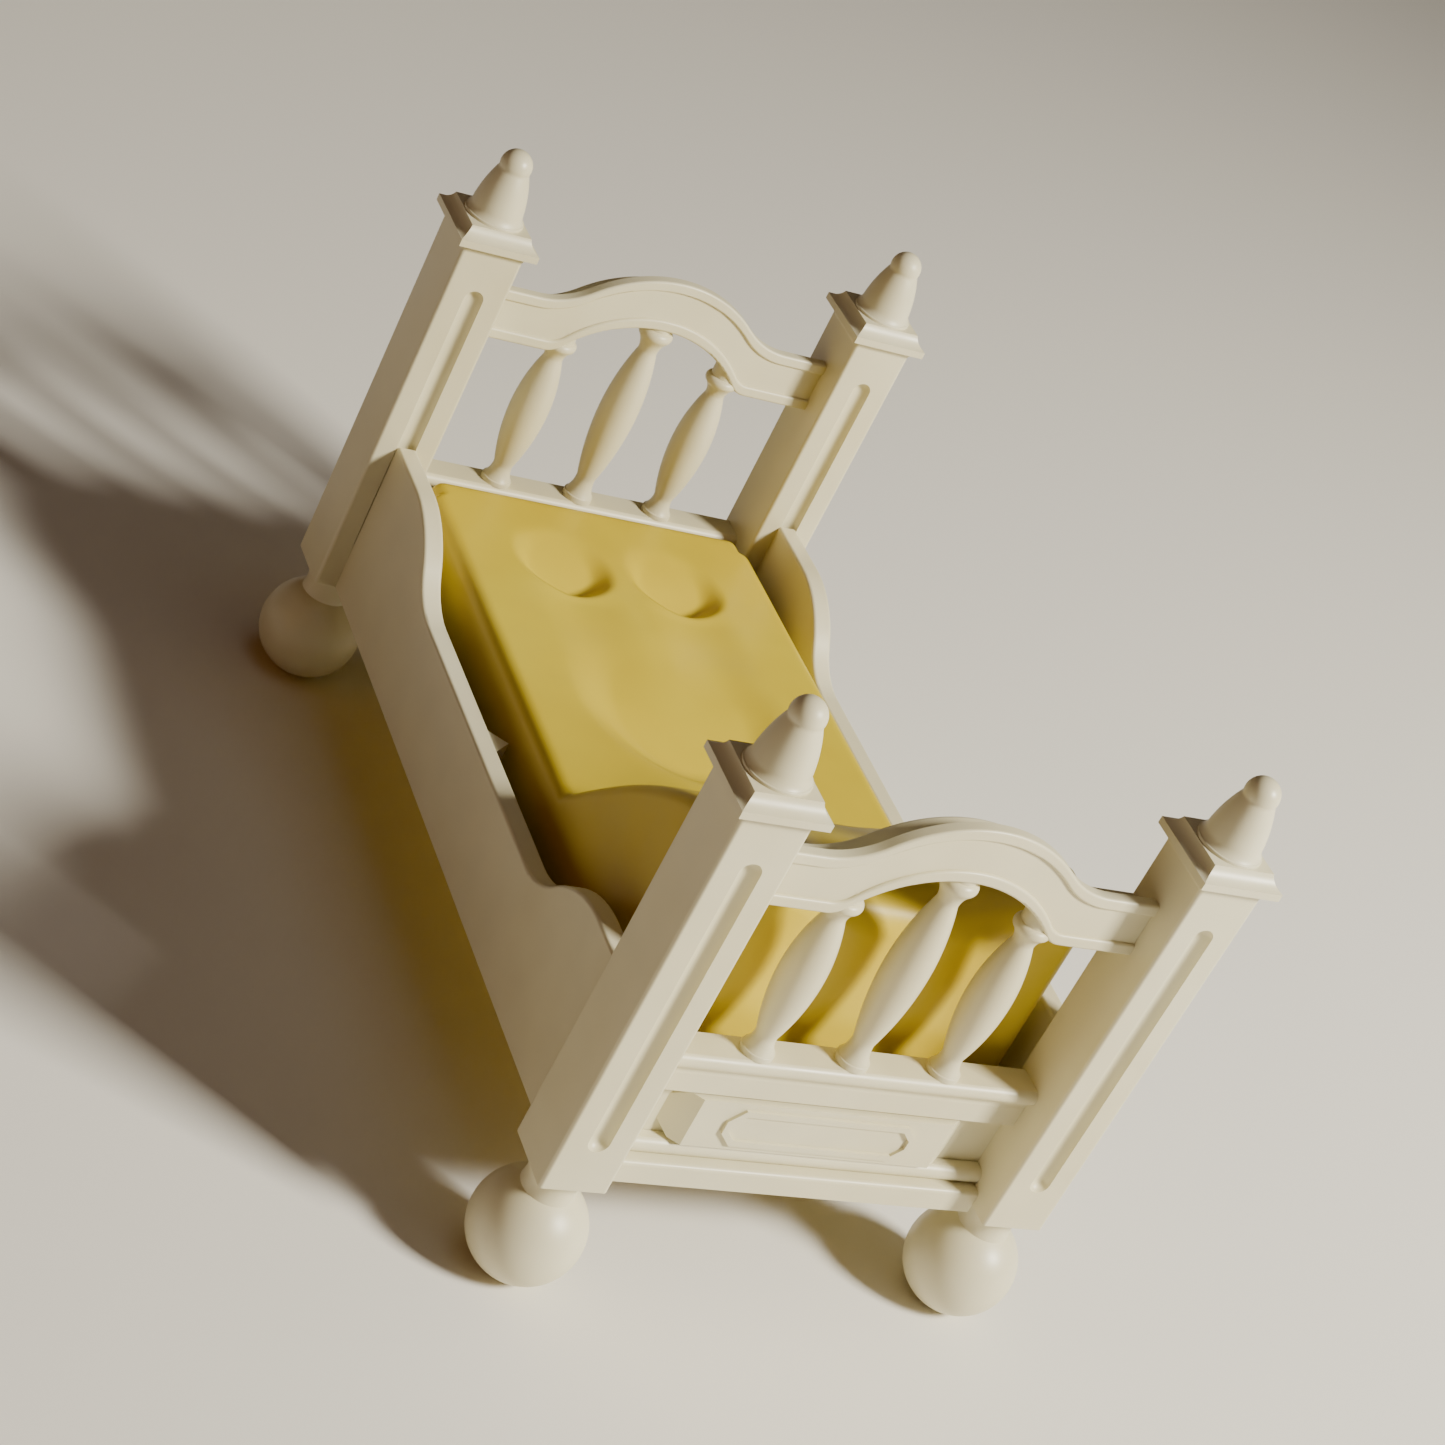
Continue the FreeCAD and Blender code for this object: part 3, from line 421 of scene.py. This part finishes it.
class BEDSTEAD_OT_finials(bpy.types.Operator):
    """Turn the four finials"""
    bl_idname = "bedstead.finials"
    bl_label = "Finials"

    def execute(self, context):
        sizes = context.scene.bedstead_turned
        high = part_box("finial_head_left")[1].z
        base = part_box("post_head_left")[1].z
        height = high - base
        edge = sizes.edge
        ring = sizes.finial_ring
        bead = sizes.finial_bead
        tip = 0.05 * MM
        neck = (sizes.finial_neck, height - bead - math.sqrt(bead ** 2 - sizes.finial_neck ** 2))
        bell = (sizes.bell_radius, sizes.flare_high)
        rings = [(sizes.finial, 0), (sizes.finial, ring - edge)]
        rings += arc(rings[-1], (sizes.finial - edge, ring), edge, steps=4)
        rings += arc(rings[-1], bell, -sizes.finial_flare, steps=8)
        rings += arc(bell, neck, sizes.finial_bell, steps=18)
        rings += arc(neck, (tip, height), bead, steps=18)
        pattern = turned("finial_pattern", rings)
        for end in ENDS:
            for side in SIDES:
                node = f"finial_{end}_{side}"
                place = axis_of(node) + Vector((0, 0, base))
                piece = placed_copy(pattern, f"turned_{node}", place)
                finish_piece(piece, "bedstead", "cream_plastic", material_for("cream"), node)
        remove(pattern)
        return {"FINISHED"}


class BEDSTEAD_OT_balusters(bpy.types.Operator):
    """Turn the six balusters"""
    bl_idname = "bedstead.balusters"
    bl_label = "Balusters"

    def execute(self, context):
        for end in ENDS:
            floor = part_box(f"mid_rail_{end}")[1].z
            for place in PLACES:
                node = f"baluster_{end}_{place}"
                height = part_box(node)[1].z - floor
                pattern = turned("baluster_pattern", baluster_rings(
                    context.scene.bedstead_turned, height, place == "middle"))
                piece = placed_copy(pattern, f"turned_{node}",
                                    axis_of(node) + Vector((0, 0, floor)))
                remove(pattern)
                finish_piece(piece, "bedstead", "cream_plastic", material_for("cream"), node)
        return {"FINISHED"}


def baluster_rings(sizes, top, is_middle):
    """The rings of a baluster that runs up to the arch. Its swellings lie at shares of its
    clear height, which is less than its whole height where the arch above it slopes."""
    height = top if is_middle else top * SLOPED_SHARE
    edge = sizes.edge
    foot = (sizes.baluster_foot, height * FOOT_SHARE)
    neck = (sizes.baluster_neck, height * NECK_SHARE)
    belly = (sizes.baluster_belly, height * BELLY_SHARE)
    waist = (sizes.baluster_waist, height * WAIST_SHARE)
    collar = (sizes.baluster_collar, height * COLLAR_SHARE)
    ring = (sizes.baluster_top, height * TOP_SHARE)
    rings = [(sizes.baluster_foot, 0), (sizes.baluster_foot, foot[1] - edge)]
    rings += arc(rings[-1], (sizes.baluster_foot - edge, foot[1]), edge, steps=3)
    rings += arc(rings[-1], neck, -upright_sweep(foot, neck), steps=7)
    rings += arc(neck, belly, upright_sweep(neck, belly), steps=14)
    rings += arc(belly, waist, upright_sweep(waist, belly), steps=14)
    rings += arc(waist, collar, -upright_sweep(collar, waist), steps=8)
    rings += arc(collar, ring, (ring[1] - collar[1]) * RING_ROUND, steps=8)
    rings.append((sizes.baluster_top, top))
    return rings


def upright_sweep(start, upright):
    """The radius of an arc between two (radius, height) corners that runs straight up at the
    second."""
    run = upright[0] - start[0]
    rise = upright[1] - start[1]
    return abs((run * run + rise * rise) / (run * 2))


# Mattress --------------------------------------------------------------------------------


def smooth(value, low, high):
    """Eases from 0 at low to 1 at high."""
    share = min(max((value - low) / (high - low), 0), 1)
    return share * share * (3 - 2 * share)


def bump(distance, radius):
    """A soft round hill: 1 in the middle, 0 from the radius on."""
    share = max(1 - (distance / radius) ** 2, 0)
    return share * share


class Mattress:
    """The form of the mattress: where the sheet's outline runs and how high it stands."""
    POST_GAP = 0.3 * MM  # between the insert and the foot posts
    TONGUE_STEP = 0.8 * MM  # how far each side steps in between the foot posts
    TAPER = 0.9 * MM  # length over which it narrows
    DIP_ENDS = (0.25, 0.86)  # where the dip starts and stops rising, in half widths
    SLOPE_POWER = 1.2  # above 1, the pillow's slope is full
    SLOPE_BOW = 0.7 * MM  # how far the foot of the pillow curves back at its corners
    BACK_SHARE = 0.86  # how far across a quarter round the back of the pillow goes
    BACK_DROP = 4.6 * MM  # height of that quarter round

    def __init__(self, sizes):
        self.sizes = sizes
        low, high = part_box("mattress_insert")
        self.half = high.x
        self.head = low.y
        self.foot = high.y
        self.base = low.z
        self.neck = -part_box("post_head_left")[1].y - self.POST_GAP
        self.tongue = self.half - self.TONGUE_STEP

    def height(self, x, y):
        """How high the lying surface stands at a place."""
        return max(self.bedding(x, y), self.pillow(x, y))

    def bedding(self, x, y):
        """The flat, its seat hollow, the leg channels and the heel hollows."""
        sizes = self.sizes
        seat_y = self.head + sizes.seat_from_head
        heel_y = self.foot - sizes.heel_from_foot
        z = sizes.plateau
        z -= sizes.seat_sink * scallop(x, y - seat_y, sizes.seat)
        along = smooth(y, seat_y, seat_y + sizes.seat)
        along *= 1 - smooth(y, heel_y - sizes.heel * CHANNEL_FADE,
                            heel_y - sizes.heel * CHANNEL_END)
        side = sizes.heel_pitch / 2
        for middle in (-side, side):
            z -= sizes.leg_sink * bump(abs(x - middle), sizes.heel) * along
            z -= sizes.heel_sink * scallop(x - middle, y - heel_y, sizes.heel)
        return z

    def pillow(self, x, y):
        """The pillow: raised corners with a dip between them, and a full slope down to the
        bedding."""
        sizes = self.sizes
        across = abs(x) / self.half
        start = self.head + sizes.pillow_start
        crest = self.head + sizes.crest
        top = sizes.ear - sizes.dip * (1 - smooth(across, *self.DIP_ENDS))
        foot_line = start - self.SLOPE_BOW * across ** 2
        if y > foot_line:
            return 0
        if y > crest:
            share = (foot_line - y) / (foot_line - crest)
            rise = 1 - (1 - share) ** self.SLOPE_POWER
            z = sizes.plateau + (top - sizes.plateau) * rise
            return z + sizes.fullness * math.sin(share * math.pi)
        fall = (crest - y) / (crest - self.head)
        level = math.sqrt(max(1 - (fall * self.BACK_SHARE) ** 2, 0))
        return top - (1 - level) * self.BACK_DROP


def scallop(x, y, radius):
    """The form of a hollow about 0, 0. Its floor slopes down towards the head and ends there
    at a short steep rim. It is 1 at its deepest and 0 outside."""
    away = math.hypot(x, y * (1.0 if y < 0 else HOLLOW_STRETCH)) / radius
    slope = min(max((FALL_START - y / radius) / FALL_RUN, 0), 1) ** FALL_POWER
    return slope * (1 - smooth(away, RIM_START, 1.0))


class BEDSTEAD_OT_mattress(bpy.types.Operator):
    """Mould the mattress insert with its pillow and hollows"""
    bl_idname = "bedstead.mattress"
    bl_label = "Mattress"

    def execute(self, context):
        sizes = context.scene.bedstead_mattress
        form = Mattress(sizes)
        roll = sizes.roll
        spare = roll * (math.pi / 2 - 1)
        width = 2 * (form.half + spare)
        long = form.foot - form.head + 2 * spare
        middle = (form.head + form.foot) / 2
        deselect_all()
        bpy.ops.mesh.primitive_grid_add(
            x_subdivisions=round(width / sizes.mesh), y_subdivisions=round(long / sizes.mesh),
            size=1, location=(0, middle, 0))
        piece = bpy.context.active_object
        piece.scale = (width, long, 1)
        bpy.ops.object.transform_apply()
        for vertex in piece.data.vertices:
            vertex.co = moulded_point(form, vertex.co.x, vertex.co.y, middle, long / 2)
        extrude_skirt(piece, form)
        thicken(piece, sizes.wall)
        piece.name = "moulded_mattress"
        piece.data.name = piece.name
        select_only(piece)
        bpy.ops.object.shade_smooth_by_angle(angle=MATTRESS_SMOOTH)
        finish_piece(piece, "insert", "yellow_plastic", material_for("yellow"),
                     "mattress_insert")
        return {"FINISHED"}


def moulded_point(form, x, y, middle, half_long):
    """Where a point of the flat sheet goes: rolled over at the outline and raised inside it."""
    roll = form.sizes.roll
    spare = roll * (math.pi / 2 - 1)
    edge_x = form.half - roll
    edge_y = half_long - spare - roll
    over_x = max(abs(x) - edge_x, 0) / roll
    over_y = max(abs(y - middle) - edge_y, 0) / roll
    angle = min(max(over_x, over_y), math.pi / 2)
    flat_x = math.copysign(min(abs(x), edge_x), x)
    flat_y = middle + math.copysign(min(abs(y - middle), edge_y), y - middle)
    reach = math.hypot(over_x, over_y)
    drop = 0
    if reach > 0:
        out = roll * math.sin(angle) / reach
        flat_x += math.copysign(out * over_x, x)
        flat_y += math.copysign(out * over_y, y - middle)
        drop = roll * (1 - math.cos(angle))
    narrow = smooth(flat_y, form.neck - form.TAPER, form.neck)
    squeeze = 1 - (1 - form.tongue / form.half) * narrow
    return Vector((flat_x * squeeze, flat_y, form.height(flat_x, flat_y) - drop))


def extrude_skirt(piece, form):
    """Draws the sheet's outline straight down to the foot of the moulding. The new edge moves
    down by any amount first, because its height is set afterwards."""
    select_only(piece)
    bpy.ops.object.mode_set(mode="EDIT")
    bpy.ops.mesh.select_mode(type="EDGE")
    bpy.ops.mesh.select_all(action="SELECT")
    bpy.ops.mesh.region_to_loop()
    bpy.ops.mesh.extrude_edges_move(TRANSFORM_OT_translate={"value": (0, 0, -1 * MM)})
    bpy.ops.object.mode_set(mode="OBJECT")
    for vertex in piece.data.vertices:
        if vertex.select:
            vertex.co.z = form.base


def thicken(piece, wall):
    """Gives the moulded skin its wall thickness, inwards."""
    select_only(piece)
    bpy.ops.object.mode_set(mode="EDIT")
    bpy.ops.mesh.select_all(action="SELECT")
    bpy.ops.mesh.normals_make_consistent(inside=False)
    bpy.ops.object.mode_set(mode="OBJECT")
    shell = piece.modifiers.new("wall", "SOLIDIFY")
    shell.thickness = wall
    shell.offset = -1
    bpy.ops.object.modifier_apply(modifier=shell.name)


# Frame pieces ----------------------------------------------------------------------------


class BEDSTEAD_OT_finish_frame(bpy.types.Operator):
    """Give the posts, rails and panels their cream plastic"""
    bl_idname = "bedstead.finish_frame"
    bl_label = "Frame finish"

    def execute(self, context):
        for name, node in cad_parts.items():
            kind = "yellow" if name == "mattress_insert" else "cream"
            node.data.materials.clear()
            node.data.materials.append(material_for(kind))
        return {"FINISHED"}


# Stage -----------------------------------------------------------------------------------


class BEDSTEAD_OT_stage(bpy.types.Operator):
    """Lay the floor, hang the lights and stand the camera"""
    bl_idname = "bedstead.stage"
    bl_label = "Stage"

    def execute(self, context):
        lay_floor(context.scene.bedstead_colours)
        hang_lights()
        stand_camera(context.scene.bedstead_stage)
        return {"FINISHED"}


def lay_floor(colours):
    """A wide pale floor of board with a matt paint, which shows soft shadows and no
    highlights."""
    deselect_all()
    bpy.ops.mesh.primitive_plane_add(size=FLOOR_SIZE, location=(0, 0, 0))
    floor = bpy.context.active_object
    floor.name = "studio_floor"
    material, tree = new_material("matt painted board")
    place = add_node(tree, "ShaderNodeTexCoord")
    tooth = add_node(tree, "ShaderNodeTexNoise", [("Vector", place.outputs["Object"])],
                     scale=per_metre(1.5), detail=3.0)
    bumps = add_node(tree, "ShaderNodeBump", [("Height", tooth.outputs["Fac"])],
                     strength=0.08, distance=0.05 * MM)
    shader = add_node(tree, "ShaderNodeBsdfPrincipled", [("Normal", bumps.outputs["Normal"])],
                      base_color=linear(colours.floor), roughness=0.85)
    add_node(tree, "ShaderNodeOutputMaterial", [("Surface", shader.outputs["BSDF"])])
    floor.data.materials.append(material)


def area_light(name, azimuth, elevation, distance, size, watts, tint):
    """A square soft light aimed at the bed. Azimuth is to the right of the head end."""
    light = bpy.data.lights.new(name, "AREA")
    light.size = size
    light.energy = watts
    light.color = linear(tint)[:3]
    lamp = bpy.data.objects.new(name, light)
    bpy.context.scene.collection.objects.link(lamp)
    turn, rise = math.radians(azimuth), math.radians(elevation)
    direction = Vector((math.sin(turn) * math.cos(rise), -math.cos(turn) * math.cos(rise),
                        math.sin(rise)))
    lamp.location = Vector((0, 0, LAMP_AIM)) + direction * distance
    lamp.rotation_euler = direction.to_track_quat("Z", "Y").to_euler()


def hang_lights():
    """A strong key light from the right of the head end, a weak one overhead, and a dim amber
    one on the left, which leaves the left sides in a brown shade."""
    area_light("key_light", azimuth=43, elevation=35, distance=0.6, size=0.12, watts=7.5,
               tint="#FFFBEF")
    area_light("top_light", azimuth=20, elevation=80, distance=0.7, size=0.5, watts=0.4,
               tint="#FFFFFF")
    area_light("side_light", azimuth=-80, elevation=25, distance=0.7, size=0.5, watts=0.28,
               tint="#FFA040")
    tint, strength = AMBIENT
    world = bpy.data.worlds.new("warm_room")
    world.use_nodes = True
    sky = world.node_tree.nodes["Background"]
    sky.inputs["Color"].default_value = linear(tint)
    sky.inputs["Strength"].default_value = strength
    bpy.context.scene.world = world


def stand_camera(stage):
    """Stands the camera off the left of the head end, leaning over its line of sight."""
    data = bpy.data.cameras.new("camera")
    data.lens = stage.lens
    data.sensor_width = SENSOR_MM
    data.clip_start = NEAREST_SEEN
    camera = bpy.data.objects.new("camera", data)
    bpy.context.scene.collection.objects.link(camera)
    rise = stage.elevation
    direction = Vector((-math.sin(stage.azimuth) * math.cos(rise),
                        -math.cos(stage.azimuth) * math.cos(rise), math.sin(rise)))
    aim = Vector((0, 0, stage.aim_height))
    look = direction.to_track_quat("Z", "Y").to_matrix()
    lean = Matrix.Rotation(stage.roll, 3, direction)
    camera.matrix_world = (Matrix.Translation(aim + direction * stage.distance)
                           @ (lean @ look).to_4x4())
    bpy.context.scene.camera = camera


# Panel and registration ------------------------------------------------------------------


class BEDSTEAD_PT_panel(bpy.types.Panel):
    """Lists the steps that build the bedstead's looks"""
    bl_idname = "BEDSTEAD_PT_panel"
    bl_label = "Bedstead"
    bl_space_type = "VIEW_3D"
    bl_region_type = "UI"
    bl_category = "Bedstead"

    def draw(self, context):
        for step in STEPS:
            self.layout.operator(step.bl_idname)


STEPS = (BEDSTEAD_OT_finish_frame, BEDSTEAD_OT_ball_feet, BEDSTEAD_OT_finials,
         BEDSTEAD_OT_balusters, BEDSTEAD_OT_mattress, BEDSTEAD_OT_stage)
GROUPS = {"bedstead_turned": TurnedSizes, "bedstead_mattress": MattressSizes,
          "bedstead_colours": Colours, "bedstead_stage": StageSizes}


def register():
    """Registers the settings, the operators and the panel."""
    for name, group in GROUPS.items():
        bpy.utils.register_class(group)
        setattr(bpy.types.Scene, name, bpy.props.PointerProperty(type=group))
    for step in STEPS:
        bpy.utils.register_class(step)
    bpy.utils.register_class(BEDSTEAD_PT_panel)


def unregister():
    """Takes them away again."""
    bpy.utils.unregister_class(BEDSTEAD_PT_panel)
    for step in reversed(STEPS):
        bpy.utils.unregister_class(step)
    for name, group in GROUPS.items():
        delattr(bpy.types.Scene, name)
        bpy.utils.unregister_class(group)


def main():
    """Builds everything in order."""
    register()
    bpy.ops.bedstead.finish_frame()
    bpy.ops.bedstead.ball_feet()
    bpy.ops.bedstead.finials()
    bpy.ops.bedstead.balusters()
    bpy.ops.bedstead.mattress()
    bpy.ops.bedstead.stage()
    deselect_all()


if __name__ == "__main__":
    main()
